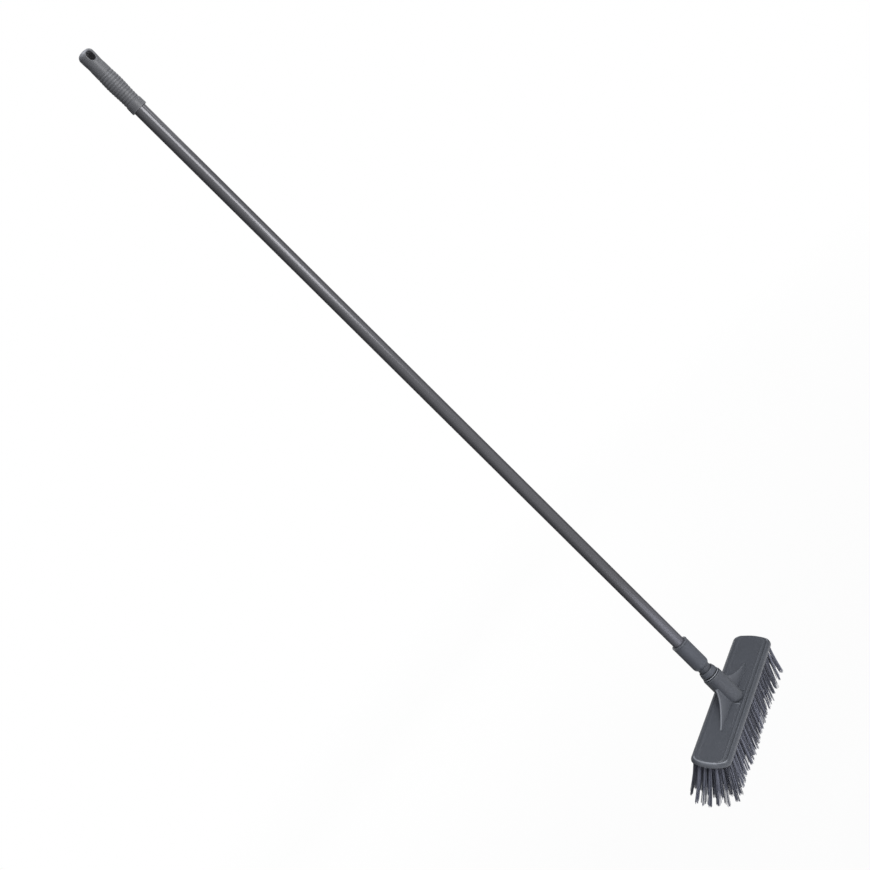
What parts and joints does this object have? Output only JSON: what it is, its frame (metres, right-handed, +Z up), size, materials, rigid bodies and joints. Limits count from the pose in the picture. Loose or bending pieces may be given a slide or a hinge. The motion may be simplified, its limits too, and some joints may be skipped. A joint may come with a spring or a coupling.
{
  "type": "yard brush",
  "caption": "Long-handled yard brush: a tubular pole with a ringed grip and hanging hole screws into a leaning socket on a long head with splayed stiff bristles.",
  "frame": {"origin": "centre of the hanging hole in the grip, where a hook holds the brush", "axes": "+Z runs up along the pole's axis to the grip's tip; Y is the hanging hole's axis and -Y its outer side; the head is turned 21 degrees about Z and leans 34 degrees to the pole"},
  "size_m": [0.3312, 0.2022, 1.5568],
  "materials": {
    "pole_paint": "semi-gloss graphite paint with a fine metallic fleck",
    "grip_plastic": "fine matte moulded surface",
    "head_plastic": "satin moulded surface",
    "bristle_plastic": "stiff extruded filament, slightly shiny"
  },
  "bodies": {
    "handle": {"hand_grip": "grip_plastic", "pole_tube": "pole_paint", "ferrule": "grip_plastic"},
    "collar": {"lock_ring": "grip_plastic"},
    "head": {"head_block": "head_plastic", "bristle_row_1": "bristle_plastic", "bristle_row_2": "bristle_plastic", "bristle_row_3": "bristle_plastic", "bristle_row_4": "bristle_plastic", "bristle_row_5": "bristle_plastic", "bristle_row_6": "bristle_plastic", "bristle_row_7": "bristle_plastic"}
  },
  "joints": [
    {"name": "head_screw", "type": "hinge", "parent": "handle", "child": "collar", "pos_m": [0, 0, -1.3963], "axis": [0, 0, -1], "range_deg": [0, 1800]},
    {"name": "screw_travel", "type": "slide", "parent": "collar", "child": "head", "axis": [0, 0, -1], "range_m": [0, 0.025]}
  ],
  "couplings": [
    {"joint": "screw_travel", "follows": "head_screw", "m_per_rad": 0.00079577}
  ]
}
